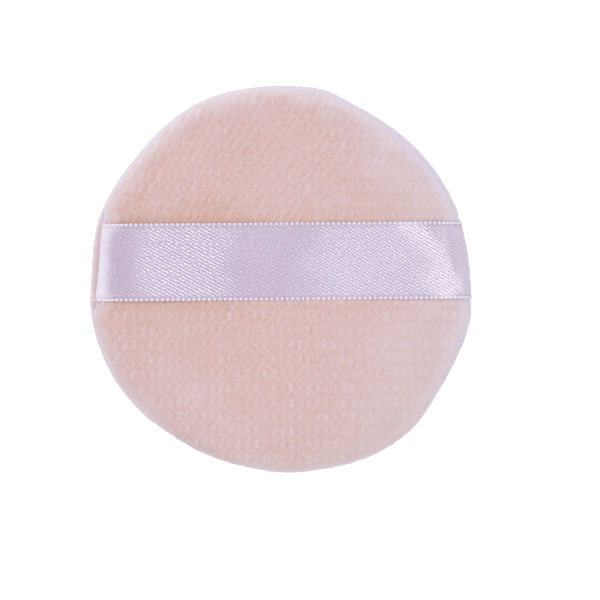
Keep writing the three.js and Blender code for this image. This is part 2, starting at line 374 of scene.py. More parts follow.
def spun(name, profile):
    """A closed round body from points of radius and height, drawn one by one and spun about the axis."""
    made = added(bpy.ops.mesh.primitive_plane_add, name, size=MM)
    edit(made)
    bpy.ops.mesh.merge(type="CENTER")
    places = [Vector((AXIS[0] + radius, AXIS[1], height)) for radius, height in profile]
    bpy.ops.transform.translate(value=places[0])
    for here, there in zip(places, places[1:]):
        bpy.ops.mesh.extrude_region_move(TRANSFORM_OT_translate={"value": there - here})
    bpy.ops.mesh.select_all(action="SELECT")
    bpy.ops.mesh.spin(steps=SPIN_STEPS, angle=TURN, center=(*AXIS, 0), axis=(0, 0, 1))
    bpy.ops.mesh.select_all(action="SELECT")
    bpy.ops.mesh.remove_doubles(threshold=TOUCHING)
    bpy.ops.mesh.normals_make_consistent(inside=False)
    done()
    return made


def remeshed(obj, voxel):
    """Rebuilds a closed mesh from even quads."""
    pick(obj)
    obj.data.remesh_voxel_size = voxel
    bpy.ops.object.voxel_remesh()


def finished(obj, body, material, node):
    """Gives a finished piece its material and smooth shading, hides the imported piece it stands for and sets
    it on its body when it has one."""
    obj.data.materials.clear()
    obj.data.materials.append(material)
    pick(obj)
    bpy.ops.object.shade_smooth_by_angle(angle=SMOOTH_ANGLE)
    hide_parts(node)
    if body:
        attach(obj, body)


# Chance that is the same in every run, and soft steps

def scatter(key, seed):
    """A number from 0 to 1 for each key, with no visible order."""
    return np.mod(np.sin(key * KEY_FACTOR + seed * SEED_FACTOR) * SPREAD, 1.0)


def patches(u, v, size, seed):
    """Soft patches of about one size, from -1 to 1."""
    column, row = np.floor(u / size), np.floor(v / size)
    across, along = ease(u / size - column, 0, 1), ease(v / size - row, 0, 1)

    def corner(right, up):
        return scatter((column + right) + CELL_STEP * (row + up), seed)

    low = corner(0, 0) * (1 - across) + corner(1, 0) * across
    high = corner(0, 1) * (1 - across) + corner(1, 1) * across
    return 2 * (low * (1 - along) + high * along) - 1


def ease(value, start, end):
    """0 before start, 1 after end, and smooth between."""
    share = np.clip((value - start) / (end - start), 0, 1)
    return share * share * (3 - 2 * share)


def fade(value, start, end):
    """1 before start, 0 after end, and smooth between."""
    return 1 - ease(value, start, end)


def zone(place, start, full, waning, end):
    """A stretch that begins between start and full and ends between waning and end, in millimetres."""
    return ease(place, start * MM, full * MM) * fade(place, waning * MM, end * MM)


def bell(turn, direction, half_width):
    """1 in one direction about the axis and less and less at either side of it, in degrees."""
    away = np.mod(np.degrees(turn) - direction + 180, 360) - 180
    return np.exp(-(away / half_width) ** 2)


# The pillow's form

def groove(puff, rise):
    """How far the seam draws the edge in at a height above it."""
    return puff.seam_groove * np.exp(-np.abs(rise) / puff.groove_reach)


def pillow_radius(puff):
    """The pillow curve's radius: larger than the puff by what the groove and the rounding take."""
    climb = np.linspace(0, QUARTER, WALL_STEPS)
    rise = BACK_HALF * np.sin(climb) ** (2 / puff.crown_fullness)
    reach = (puff.edge_radius - groove(puff, rise)) * np.cos(climb) ** (2 / puff.edge_fullness)
    return 2 * puff.edge_radius - reach.max()


def front_half(puff):
    """Height of the skin side's half before the table presses it flat."""
    return SEAM_LEVEL + puff.foot_depth


def wall(puff, climb, half, inset=0.0, grooved=True):
    """Radius and rise of the pillow's wall, whose climb is 0 at the seam and a quarter turn at the crown."""
    rise = (half - inset) * np.sin(climb) ** (2 / puff.crown_fullness)
    drawn = groove(puff, rise) if grooved else 0.0
    reach = np.clip(np.cos(climb), 0, 1) ** (2 / puff.edge_fullness)
    return (pillow_radius(puff) - inset - drawn) * reach, rise


def wander(puff, turn):
    """How far the edge wanders out at an angle, as a smooth closed curve through the twelve hours."""
    hours = len(WANDER_PATTERN)
    share = np.array(WANDER_PATTERN)
    clock = np.mod(turn / TURN, 1) * hours
    hour = np.floor(clock).astype(int)
    t = clock - hour
    before, here, after, beyond = (share[(hour + step) % hours] for step in (-1, 0, 1, 2))
    bend = (after - before) * t
    bend += (2 * before - 5 * here + 4 * after - beyond) * t ** 2
    bend += (3 * here - before - 3 * after + beyond) * t ** 3
    reach = puff.edge_wander * (here + bend / 2)
    for direction, half_width, height in EDGE_BUMPS:
        reach = reach + height * MM * bell(turn, direction, half_width)
    return reach


def settle(puff, radius, turn):
    """The radius in the uneven puff of a point of the true round one."""
    share = (radius / puff.edge_radius) ** WANDER_FADE
    return radius * (1 + wander(puff, turn) / puff.edge_radius * share)


def cloth_run(puff, half, climb):
    """Length of cloth from the crown to a point of the wall."""
    climbs = np.linspace(0, QUARTER, WALL_STEPS)
    radius, rise = wall(puff, climbs, half, grooved=False)
    steps = np.hypot(np.diff(radius), np.diff(rise))
    left = np.concatenate([np.cumsum(steps[::-1])[::-1], [0]])
    return np.interp(climb, climbs, left)


def knit(puff, u, v, lean, seed):
    """Height of the pile from 0 in the gaps to 1: soft tufts in wales and courses that run a little askew,
    each tuft leaning and standing as it happens to."""
    slope = np.tan(lean) * puff.course / puff.wale
    u = u + 0.4 * MM * patches(u, v, 13 * MM, seed + 5)
    v = v + 0.5 * MM * patches(u, v, 15 * MM, seed + 6)
    pile = np.zeros_like(u)
    # Shorter tufts stand between the long ones, half a stitch along and across
    for shift, height, reach in ((0.0, 1.0, TUFT_LENGTH), (0.5, 0.55, 0.5 * TUFT_LENGTH)):
        column, row = np.floor(u / puff.wale - shift), np.floor(v / puff.course - shift)
        for right in (-1, 0, 1):
            for up in (-1, 0, 1):
                wale, course = column + right + shift, row + up + shift
                key = wale * WALE_STEP + course
                aside, ahead, tip, stand = (scatter(key, seed + part) - 0.5 for part in (1, 2, 3, 4))
                # Each tuft stands a little off its place in the knit
                along = course + 0.5 + 0.2 * ahead - v / puff.course
                across = wale + 0.5 + 0.16 * aside - u / puff.wale + (0.4 * tip - slope) * along
                tuft = height * np.exp(-(across / TUFT_WIDTH) ** 2 - (along / reach) ** 4)
                # A few tufts stand out from the rest
                pile = np.maximum(pile, tuft * (0.8 + 0.7 * stand + 0.25 * (stand > 0.47)))
    return pile


def stuffed(puff, radius, rise, half):
    """Brings points of the swollen pad nearer to the full pillow curve, along rays from the pad's middle."""
    out, up = radius / pillow_radius(puff), np.abs(rise) / half
    scale = np.ones_like(out)
    for _ in range(NEWTON_STEPS):
        wide, high = (scale * out) ** puff.edge_fullness, (scale * up) ** puff.crown_fullness
        scale -= scale * (wide + high - 1) / (puff.edge_fullness * wide + puff.crown_fullness * high)
    scale = 1 + puff.stuffing * (scale - 1)
    return radius * scale, rise * scale


def beside_ribbon(y):
    """How far a place lies outside the ribbon's edges, less than 0 between them."""
    return np.abs(y - STRAP_MIDDLE) - STRAP_HALF


def end_pull(ribbon, y, left):
    """How far the ribbon draws the puff's edge in at its ends, which run straight across the round edge."""
    bow = np.clip(1 - ((y - STRAP_MIDDLE) / STRAP_HALF) ** 2, 0, 1)
    pull = np.where(left, ribbon.left_pull + ribbon.left_bow * bow, ribbon.right_bow * bow)
    return pull * fade(beside_ribbon(y), 0, ribbon.end_fade)


def chord(radius, from_axis):
    """How far out along X a circle lies at a distance from the axis along Y."""
    return np.sqrt(np.maximum(radius ** 2 - from_axis ** 2, 0))


def edge_reach(puff, ribbon, y, side):
    """How far out along X the puff's edge lies at y, on the right (1) or on the left (-1)."""
    from_axis = y - AXIS[1]
    turn = np.arctan2(from_axis, side * chord(puff.edge_radius, from_axis))
    reach = settle(puff, puff.edge_radius, turn) - end_pull(ribbon, y, side < 0)
    return AXIS[0] * side + chord(reach, from_axis)


def drawn_taut(puff, ribbon, x, y, rise, below=0.0):
    """Places on the puff's back, pressed in to the slopes where the taut ribbon runs down to the seam."""
    side = np.where(x < 0, -1, 1)
    twist = ribbon.right_twist * (y - STRAP_MIDDLE) / STRAP_HALF
    steep = np.where(x < 0, ribbon.left_slope, ribbon.right_slope - twist)
    foot = edge_reach(puff, ribbon, y, side) - np.where(x < 0, ribbon.left_sink, ribbon.right_sink)
    over = (np.abs(x) - foot) * np.sin(steep) + (rise - ribbon.foot_rise) * np.cos(steep) + below
    press = (over + np.hypot(over, ribbon.bend)) / 2 * ease(rise, 0.1 * MM, 1.2 * MM)
    return x - side * press * np.sin(steep), rise - press * np.cos(steep)


def pressed_under(puff, ribbon, places, below):
    """Places in the pad, pressed in below the ribbon and, less and less, beside it."""
    x, y, rise = places[:, 0], places[:, 1], places[:, 2] - SEAM_LEVEL
    in_x, in_rise = drawn_taut(puff, ribbon, x, y, rise, below)
    share = (rise > 0) * fade(beside_ribbon(y), 0, ribbon.end_fade)
    return np.column_stack([x + share * (in_x - x), y, places[:, 2] + share * (in_rise - rise)])


def polar(places):
    """Radius and turn of points about the puff's axis."""
    flat = places[:, :2] - AXIS
    return np.hypot(*flat.T), np.arctan2(flat[:, 1], flat[:, 0])


def placed(radius, turn, height):
    """Points at a radius, turn and height about the puff's axis, as rows of x, y and z."""
    return np.column_stack([AXIS[0] + radius * np.cos(turn), AXIS[1] + radius * np.sin(turn), height])


# Materials

def surface(name):
    """A new material with its node tree and its shader."""
    material = bpy.data.materials.new(name)
    material.use_nodes = True
    tree = material.node_tree
    return material, tree, tree.nodes["Principled BSDF"]


def add(tree, kind, sockets=(), out=0, **settings):
    """Adds a node with its settings and with its input sockets set or linked, by name or in their order, and
    gives back one of its outputs."""
    made = tree.nodes.new("ShaderNode" + kind)
    for name, value in settings.items():
        setattr(made, name, value)
    for key, value in sockets.items() if isinstance(sockets, dict) else enumerate(sockets):
        if isinstance(value, bpy.types.NodeSocket):
            tree.links.new(value, made.inputs[key])
        else:
            made.inputs[key].default_value = value
    return made.outputs[out]


def shade(tree, shader, colour_from, bump_from, **constants):
    """Gives the shader its linked colour and bump and its constant values."""
    tree.links.new(colour_from, shader.inputs["Base Color"])
    tree.links.new(bump_from, shader.inputs["Normal"])
    for name, value in constants.items():
        shader.inputs[name.replace("_", " ")].default_value = value


def velour_material(colours):
    """Knitted velour with a cut pile: matt, pale at the tips, warmer between the tufts, darker where painted
    shade lies, and with a painted sheen along its rim, shown most where the pile is seen from the side."""
    material, tree, shader = surface("Velour knit with cut pile")
    cloth = add(tree, "Attribute", out="Vector", attribute_name="cloth")
    # The attributes carry the pile's tone with painted shade, the rim's painted sheen, and brushed pile with
    # its cooler painted sheen
    tone, bloom, brushed = (
        add(tree, "Attribute", out="Fac", attribute_name=name) for name in ("tone", "bloom", "brushed"))
    # Fibres lie in clumps about 0.4 mm wide, twice as long along their lean, and less clear where brushed
    clumps = add(tree, "VectorMath", [cloth, (1 / (0.42 * MM), 1 / (0.8 * MM), 1)], operation="MULTIPLY")
    fibres = add(tree, "TexNoise", {"Vector": clumps, "Scale": 1.0, "Detail": 1.0}, "Fac")
    speckle = add(tree, "MapRange", [fibres, 0.25, 0.75, -0.21, 0.21])
    calm = add(tree, "MapRange", [brushed, 0, 1, 1, 0.55])
    standing = add(tree, "Math", [speckle, calm, tone], operation="MULTIPLY_ADD")
    # Here and there the pile parts, and the warm ground shows in a short mark
    spread = add(tree, "VectorMath", [cloth, (1 / (0.8 * MM), 1 / (1.3 * MM), 1)], operation="MULTIPLY")
    parting = add(tree, "TexNoise", {"Vector": spread, "Scale": 1.0, "Detail": 1.0}, "Fac")
    marks = add(tree, "MapRange", [parting, 0.58, 0.8, 0, 0.4])
    shown = add(tree, "MapRange", [brushed, 0, 1, 1, 0.2])
    seen = add(tree, "Math", [marks, shown], operation="MULTIPLY")
    share = add(tree, "Math", [standing, seen], operation="SUBTRACT", use_clamp=True)
    # Pile that lies brushed over is painted cooler and paler, a painted sheen
    ground, tip, painted_sheen_colour = (
        add(tree, "Mix", {0: brushed, 6: (*upright, 1), 7: (*lying, 1)}, 2, data_type="RGBA")
        for upright, lying in ((colours.velour_ground, colours.brushed_sheen_ground),
                               (colours.velour_tip, colours.brushed_sheen_tip),
                               (colours.velour_bloom, colours.brushed_bloom)))
    pile = add(tree, "Mix", {0: share, 6: ground, 7: tip}, 2, data_type="RGBA")
    # The rim's painted sheen shows where the pile is seen along its fibres, and much less from straight above
    along = add(tree, "LayerWeight", out="Facing")
    sheen = add(tree, "MapRange", [along, 0, 0.3, 0.08, 1])
    pale = add(tree, "Math", [bloom, sheen], operation="MULTIPLY")
    bent = add(tree, "Mix", {0: pale, 6: pile, 7: painted_sheen_colour}, 2, data_type="RGBA")
    bump = add(tree, "Bump", {"Height": fibres, "Strength": 0.3, "Distance": 0.12 * MM})
    shade(tree, shader, bent, bump, Roughness=0.95, Specular_IOR_Level=0.15, Sheen_Weight=0.45,
          Sheen_Roughness=0.4, Sheen_Tint=(*colours.velour_sheen, 1))
    return material


def satin_material(colours, ribbon):
    """Woven satin ribbon: its long floats are painted as glints in fine diagonal rows, with painted highlights
    in zones along it and where it turns. Real floats are too fine for the render, so the rows are drawn as
    coarse as they look from a step away."""
    material, tree, shader = surface("Satin ribbon, woven")
    weave = add(tree, "Attribute", out="Vector", attribute_name="weave")
    lustre = add(tree, "Attribute", out="Fac", attribute_name="lustre")
    grain = add(tree, "TexNoise", {"Vector": weave, "Scale": 1 / (0.8 * MM), "Detail": 2.0}, "Fac")
    total = add(tree, "Math", [grain, 0.5, lustre], operation="MULTIPLY_ADD")
    for run, rise, part in ((ribbon.falling_run, ribbon.falling_rise, "falling"),
                            (-ribbon.rising_run, ribbon.rising_rise, "rising")):
        strength = add(tree, "Attribute", out="Fac", attribute_name=part)
        count = add(tree, "VectorMath", [weave, (1 / run, 1 / rise, 0)], "Value", operation="DOT_PRODUCT")
        # A little slack in the weave keeps the rows from lying dead straight
        loose = add(tree, "Math", [grain, 0.6, count], operation="MULTIPLY_ADD")
        row = add(tree, "Math", [loose], operation="FLOOR")
        steep = math.hypot(run, rise)
        way = (run / steep / ribbon.float_length, -rise / steep / ribbon.float_length, 0)
        along = add(tree, "VectorMath", [weave, way], "Value", operation="DOT_PRODUCT")
        # Each row's floats begin elsewhere
        begun = add(tree, "Math", [row, 7.31, along], operation="MULTIPLY_ADD")
        broken = add(
            tree, "TexNoise", {"W": begun, "Scale": 1.0, "Detail": 1.0}, "Fac", noise_dimensions="1D")
        dash = add(tree, "MapRange", [broken, 0.36, 0.62, 0, 1.4])
        phase = add(tree, "Math", [loose, TURN], operation="MULTIPLY")
        wave = add(tree, "Math", [phase], operation="SINE")
        floats = add(tree, "Math", [wave, dash], operation="MULTIPLY")
        total = add(tree, "Math", [floats, strength, total], operation="MULTIPLY_ADD")
    # Painted shade between the rows and painted glints on them, with the plain satin where the rows fade
    dark = add(tree, "MapRange", [total, 0.25, -0.75])
    light = add(tree, "MapRange", [total, 0.28, 1.25])
    woven = (*colours.satin, 1)
    for share, shown in ((dark, colours.satin_shade), (light, colours.satin_glint)):
        woven = add(tree, "Mix", {0: share, 6: woven, 7: (*shown, 1)}, 2, data_type="RGBA")
    smooth = add(tree, "MapRange", [total, -0.75, 1.25, 0.6, 0.35])
    tree.links.new(smooth, shader.inputs["Roughness"])
    bump = add(tree, "Bump", {"Height": total, "Strength": 0.2, "Distance": 0.05 * MM})
    shade(tree, shader, woven, bump, IOR=1.54, Anisotropic=0.5, Sheen_Weight=0.1, Sheen_Roughness=0.3)
    return material


def grained_material(name, kind, grain, span, low, high, bump, constants, out="Fac", **settings):
    """A material whose fine grain, over its span, turns one colour into another and raises a bump."""
    material, tree, shader = surface(name)
    place = add(tree, "TexCoord", out="Object")
    value = add(tree, kind, {"Vector": place, **grain}, out, **settings)
    share = add(tree, "MapRange", [value, *span])
    tint = add(tree, "Mix", {0: share, 6: (*low, 1), 7: (*high, 1)}, 2, data_type="RGBA")
    strength, distance, from_span = bump
    raised = add(tree, "Bump", {"Height": share if from_span else value, "Strength": strength,
                                "Distance": distance}, invert=from_span)
    shade(tree, shader, tint, raised, **constants)
    return material


def selvedge_material(colours):
    """Weft loops of the selvedge: smooth filament yarn, whiter than the satin beside it."""
    return grained_material(
        "Satin selvedge, weft loops", "TexNoise", {"Scale": 1 / (0.15 * MM), "Detail": 2.0}, (0.2, 0.5),
        colours.satin, colours.selvedge, (0.2, 0.05 * MM, False), {"Roughness": 0.4, "IOR": 1.54})


def foam_material(colours):
    """Polyurethane foam with open cells: matt, with darker pits between thin cell walls."""
    return grained_material(
        "Polyurethane foam, open cell", "TexVoronoi", {"Scale": 1 / (0.8 * MM)}, (0.05, 0.3), colours.foam,
        colours.foam_cell, (0.6, 0.2 * MM, True), {"Roughness": 0.9}, "Distance", feature="DISTANCE_TO_EDGE")


def thread_material(colours):
    """Spun polyester sewing thread: soft, slightly hairy, darker between its plies."""
    plies = {"Scale": 1 / (0.3 * MM), "Detail": 3.0, "Roughness": 0.6}
    return grained_material(
        "Spun polyester thread, plied", "TexNoise", plies, (0, 1), colours.thread_shade, colours.thread,
        (0.5, 0.05 * MM, False), {"Roughness": 0.75, "Sheen_Weight": 0.2})


# The velour covers

def swell(pillow):
    """Blows the sewn pillow up a little as cloth, held at its seam, so that it lies as filled fabric does."""
    start = points_of(pillow)
    seam = pillow.vertex_groups.new(name="seam")
    held = np.flatnonzero(np.abs(start[:, 2] - SEAM_LEVEL) < SEAM_HOLD)
    seam.add(held.tolist(), 1.0, "REPLACE")
    modifier = pillow.modifiers.new("Swell", "CLOTH")
    cloth = modifier.settings
    cloth.use_pressure = True
    cloth.uniform_pressure_force = SWELL_PRESSURE
    cloth.effector_weights.gravity = 0
    cloth.vertex_group_mass = seam.name
    modifier.point_cache.frame_start = 1
    modifier.point_cache.frame_end = SWELL_FRAMES
    for step in range(1, SWELL_FRAMES + 1):
        bpy.context.scene.frame_set(step)
    pick(pillow)
    bpy.ops.object.modifier_apply(modifier=modifier.name)
    bpy.context.scene.frame_set(1)
    moved = points_of(pillow) - start
    far = np.linalg.norm(moved, axis=1)
    moved *= np.minimum(1, SWELL_CAP / np.maximum(far, 1e-9))[:, None]
    move_points(pillow, start + moved)


def parted_pile_and_shade(x, y, back, inside):
    """How far the pile parts beside the ribbon and painted shade darkens it there: more above it than below,
    and most on the left.
    """
    above = y > STRAP_MIDDLE
    parted_and_shade = np.exp(-np.abs(beside_ribbon(y)) / np.where(above, 2.0 * MM, 2.2 * MM))
    parted_and_shade *= np.where(above, 0.62, 0.36) * (1 - np.where(above, 0.4, 0.9) * ease(x, -17 * MM, 2 * MM))
    parted_and_shade *= back * ease(inside, 0.5 * MM, 4 * MM) * (1 - 0.6 * ease(x, 22 * MM, 34 * MM))
    return parted_and_shade


def pile_tone(puff, x, y, back, rise, u, v, tuft, parted_and_shade):
    """How far the pale tips of the pile cover its warm ground, less where painted shade lies beside the
    ribbon, in a broad patch low at the left and in the seam's groove.
    """
    # The pile lies smoother on the right, and its courses show there as faint lines
    smooth = ease(x, 2 * MM, 20 * MM)
    clear_knit = (0.31 - 0.13 * smooth) * (1 + 0.5 * patches(u, v, 7 * MM, seed=55))
    tone = 0.57 + clear_knit * (tuft - MEAN_PILE) - parted_and_shade
    # Darker, warmer patches; the broad one low at the left is painted shade
    for middle_x, middle_y, reach_x, reach_y, darkening in WARM_PATCHES_AND_SHADE:
        far = ((x / MM - middle_x) / reach_x) ** 2 + ((y / MM - middle_y) / reach_y) ** 2
        tone -= back * darkening * np.exp(-far) * (1 + 0.4 * patches(u, v, 3 * MM, seed=77))
    lines = (np.cos(TURN * v / puff.course) / 2 + 0.5) ** 6
    tone -= 0.07 * smooth * lines * (1 + patches(u, v, 6 * MM, seed=91))
    # Painted shade darkens the pile in the seam's groove
    return tone - 0.35 * groove(puff, rise) / puff.seam_groove


def pile_bloom(puff, x, y, back, turn, inside, u, v, tuft, parted_and_shade):
    """Painted sheen: how pale the pile is painted where the cloth bends over the edge, most at the upper left,
    where the light falls, with a narrow pale band all round the very edge.
    """
    uneven_rim = 1 + 0.35 * patches(u, v, 4.3 * MM, seed=7) + 0.12 * patches(u, v, 2.4 * MM, seed=8)
    depth = inside * uneven_rim
    out, up = np.cos(turn), np.sin(turn)
    at_left_end = (x < 0) * fade(beside_ribbon(y), 0, 5 * MM)
    # The painted sheen is brightest at the upper left, where the light falls, weaker low down and on the skin
    # side, and weakest low at the left
    on_back = 0.6 + np.where(up > 0, 0.33 - 0.22 * out, 0.3) * up
    towards = np.where(back, on_back, 0.45 + 0.7 * at_left_end) - 0.35 * bell(turn, *WEAKEST_SHEEN)
    bent = fade(depth, -0.6 * MM, 1.4 * puff.rim) * towards + 0.5 * fade(depth, 0, 1.0 * MM)
    bent += 0.07 * (tuft - MEAN_PILE) * fade(depth, puff.rim, 2.5 * puff.rim) * towards
    bent *= 1 + 0.85 * ease(depth, 0.5 * MM, 2.5 * MM)
    return np.clip(bent, 0, 1) * (1 - np.minimum(1.5 * parted_and_shade, 1))


def pile_brushed_and_sheen(x, y, turn, inside, u, v):
    """How far the pile lies brushed over, which also paints it cooler and paler as a painted sheen: towards
    the right, in places near the edge and in soft patches.
    """
    brushed = 0.25 * ease(x, 5 * MM, 25 * MM) + 0.75 * ease(x + 0.35 * y, 14 * MM, 38 * MM)
    for direction, half_width, share in BRUSHED_SHEEN_PLACES:
        brushed += share * bell(turn, direction, half_width) * zone(inside, 1, 4, 8, 16)
    for size, seed in BRUSHED_SHEEN_PATCHES:
        brushed += 0.16 * patches(u, v, size * MM, seed)
    return np.clip(brushed, 0, 1)


def shape_velour(pillow, puff, ribbon):
    """Brings the swollen pillow to its true size, draws the seam in, lets the edge wander, presses the
    ribbon's bed, raises the pile and says how it looks, with its painted sheen and painted shade."""
    places = points_of(pillow)
    radius, turn = polar(places)
    rise = places[:, 2] - SEAM_LEVEL
    back = rise >= 0
    half = np.where(back, BACK_HALF, front_half(puff))
    full = pillow_radius(puff)
    radius, rise = stuffed(puff, radius, rise, half)
    rise = rise * half / np.where(back, rise.max(), -rise.min())
    climb = np.arctan2((np.abs(rise) / half) ** (puff.crown_fullness / 2),
                       (radius / full) ** (puff.edge_fullness / 2))
    radius = radius * (1 - groove(puff, rise) / full)
    radius = radius * puff.edge_radius / np.where(back, radius[back].max(), radius[~back].max())
    stitches = round(TURN * puff.edge_radius / puff.stitch)
    radius = radius - puff.pucker * np.cos(stitches * turn) * np.exp(-(rise / puff.pucker_reach) ** 2)
    y = AXIS[1] + radius * np.sin(turn)
    # The pile stands close against the ribbon's lower edge
    clear = np.where(y > STRAP_MIDDLE, BED_EDGE, 0.0)
    under = ease(-beside_ribbon(y), -clear, BED_EDGE) * back
    pressed_radius, pressed_rise = wall(puff, climb, BACK_HALF, ribbon.press)
    radius = settle(puff, radius + under * (pressed_radius - radius), turn)
    rise = rise + under * (pressed_rise - rise)
    y = AXIS[1] + radius * np.sin(turn)
    drawn = np.where(back, np.cos(climb) ** 2, np.exp(-(rise / ribbon.pull_drop) ** 2))
    radius = radius - end_pull(ribbon, y, np.cos(turn) < 0) * drawn
    shaped = placed(radius, turn, SEAM_LEVEL + rise)
    shaped = pressed_under(puff, ribbon, shaped, ribbon.thickness / 2 + ribbon.rest_gap)
    move_points(pillow, shaped)
    facing = normals_of(pillow)

    run = np.where(back, cloth_run(puff, BACK_HALF, climb), cloth_run(puff, front_half(puff), climb))
    u, v = run * np.cos(turn), run * np.sin(turn)
    lean = LOWER_LEAN + (UPPER_LEAN - LOWER_LEAN) * ease(y, STRAP_LOW.y, STRAP_HIGH.y)
    tuft = np.where(back, knit(puff, u, v, lean, 1), knit(puff, u, v, lean, 11))
    standing = (1 - under) * ease(np.abs(rise), 0.2 * MM, 1.5 * MM)
    uneven = puff.lump * patches(u, v, 9 * MM, seed=4) + puff.pile_relief * (tuft - MEAN_PILE)
    shaped += facing * (uneven * standing)[:, None]
    shaped[:, 2] = np.maximum(shaped[:, 2], 0)
    move_points(pillow, shaped)

    x, y = shaped[:, 0], shaped[:, 1]
    inside = settle(puff, puff.edge_radius, turn) - radius
    parted_and_shade = parted_pile_and_shade(x, y, back, inside)
    fibre_u, fibre_v = u * np.cos(lean) - v * np.sin(lean), u * np.sin(lean) + v * np.cos(lean)
    # The pile's tone carries painted shade, its bloom the rim's painted sheen, and brushed pile a cooler
    # painted sheen
    keep_values(
        pillow, cloth=np.column_stack([fibre_u, fibre_v, np.where(back, 0, 1)]),
        tone=pile_tone(puff, x, y, back, rise, u, v, tuft, parted_and_shade),
        bloom=pile_bloom(puff, x, y, back, turn, inside, u, v, tuft, parted_and_shade),
        brushed=pile_brushed_and_sheen(x, y, turn, inside, u, v))


def half_cover(pillow, name, side, puff, ribbon):
    """One cover: the pillow's half on one side of the seam, with its cut edge turned in behind the seam."""
    cover = copy_of(pillow, name)
    level = SEAM_LEVEL + side * puff.seam_gap / 2
    edit(cover)
    bpy.ops.mesh.bisect(plane_co=(0, 0, level), plane_no=(0, 0, side), clear_inner=True)
    bpy.ops.mesh.select_all(action="DESELECT")
    bpy.ops.mesh.select_non_manifold()
    bpy.ops.transform.resize(value=(1, 1, 0), center_override=(*AXIS, level))
    inwards = 1 - puff.allowance / 2 / puff.edge_radius
    for _ in range(2):
        bpy.ops.mesh.extrude_region_move()
        bpy.ops.transform.resize(value=(inwards, inwards, 1), center_override=(*AXIS, level))
    bpy.ops.mesh.select_all(action="SELECT")
    bpy.ops.mesh.normals_make_consistent(inside=False)
    done()
    # The turned-in edges part where they hold the ribbon
    places = points_of(cover)
    turned = np.abs(places[:, 2] - level) < TOUCHING
    room = (ribbon.thickness - puff.seam_gap) / 2 + ribbon.rest_gap
    places[:, 2] += side * room * turned * fade(beside_ribbon(places[:, 1]), 0, ribbon.end_fade)
    move_points(cover, places)
    outer = len(cover.data.vertices)
    finish_with(cover, "SOLIDIFY", thickness=puff.cloth, offset=-1)
    edit(cover, np.arange(len(cover.data.vertices)) >= outer)
    bpy.ops.mesh.decimate(ratio=INNER_SHARE)
    done()
    return cover


class PUFF_OT_covers(Operator):
    """Models the two velour covers, sewn together round the edge"""
    bl_idname = "puff.covers"
    bl_label = "Velour covers"

    def execute(self, context):
        puff, ribbon = context.scene.puff_sizes, context.scene.puff_ribbon
        covers = (
            ("velour_back", "back_cover", 1, BACK_HALF),
            ("velour_front", "front_cover", -1, front_half(puff)))
        climbs = np.linspace(0, QUARTER, PROFILE_STEPS)
        back, front = (
            np.column_stack(wall(puff, climbs, half, puff.swell_room, grooved=False)) for *_, half in covers)
        pillow = spun("pillow", both_sides(front, back[1:]))
        remeshed(pillow, CLOTH_VOXEL)
        swell(pillow)
        finish_with(pillow, "SUBSURF", levels=CLOTH_LEVELS, render_levels=CLOTH_LEVELS)
        shape_velour(pillow, puff, ribbon)
        velour = velour_material(context.scene.puff_colours)
        for name, node, side, half in covers:
            cover = half_cover(pillow, name, side, puff, ribbon)
            finished(cover, "puff", velour, node)
        bpy.data.objects.remove(pillow)
        return {"FINISHED"}


# The filling

class PUFF_OT_foam(Operator):
    """Models the foam pad that fills the covers"""
    bl_idname = "puff.foam"
    bl_label = "Foam pad"

    def execute(self, context):
        puff, ribbon = context.scene.puff_sizes, context.scene.puff_ribbon
        low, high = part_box("foam_core")
        slot_radius = puff.edge_radius - puff.seam_groove - puff.allowance - SLOT_ROOM
        climbs = np.linspace(0, QUARTER, PROFILE_STEPS)
        halves = []
        for half, end in ((front_half(puff), SEAM_LEVEL - low.z), (BACK_HALF, high.z - SEAM_LEVEL)):
            radius, rise = wall(puff, climbs, half, puff.foam_inset)
            rise = np.minimum(rise, end)
            open_wall = rise > SLOT_RISE
            halves.append([(slot_radius, SLOT_RISE), *zip(radius[open_wall], rise[open_wall])])
        profile = both_sides(*halves)
        profile[0] = (0.0, profile[0][1])
        profile[-1] = (0.0, profile[-1][1])
        pad = spun("foam_pad", profile)
        remeshed(pad, FOAM_VOXEL)
        places = points_of(pad)
        radius, turn = polar(places)
        places = placed(settle(puff, radius, turn), turn, places[:, 2])
        places = pressed_under(puff, ribbon, places, ribbon.press + puff.foam_inset)
        cells = np.array([scatter(np.arange(len(places)), seed) for seed in (21, 22, 23)]).T - 0.5
        move_points(pad, places + FOAM_ROUGHNESS * FOAM_VOXEL * cells)
        finished(pad, "puff", foam_material(context.scene.puff_colours), "foam_core")
        return {"FINISHED"}


# The ribbon strap

def strap_rows(puff, ribbon, side, along, across):
    """Places on one half of the ribbon, from its middle over the pad's edge into the seam, as a grid."""
    climbs = np.linspace(QUARTER, 0, WALL_STEPS)
    radius, rise = wall(puff, climbs, BACK_HALF, ribbon.press - ribbon.rest_gap - ribbon.thickness / 2)
    rows = []
    for offset in across:
        y = STRAP_MIDDLE + offset
        from_axis = y - AXIS[1]
        turn = np.arctan2(from_axis, side * chord(radius, from_axis))
        reach = settle(puff, radius, turn) - end_pull(ribbon, y, side < 0) * np.cos(climbs) ** 2
        out = reach > abs(from_axis)
        x = side * (AXIS[0] * side + chord(reach[out], from_axis))
        x, height = drawn_taut(puff, ribbon, x, y, rise[out])
        x = side * x
        line = np.array([(0.0, height[0]), *zip(x, height), (x[-1] - ribbon.tail, 0.0)])
        run = np.concatenate([[0], np.cumsum(np.hypot(*np.diff(line, axis=0).T))])
        s = np.minimum(along, run[-1])
        x, height = (np.interp(s, run, places) for places in line.T)
        rows.append(np.column_stack([side * x, np.full(len(s), y), SEAM_LEVEL + height]))
    return np.stack(rows, axis=1)


def strap_length(puff, ribbon):
    """Length of one half of the ribbon along its middle, with its tail."""
    dense = np.linspace(0, 2 * puff.edge_radius, 4 * WALL_STEPS)
    line = strap_rows(puff, ribbon, 1, dense, [0.0])[:, 0]
    return float(np.linalg.norm(np.diff(line, axis=0), axis=1).sum())


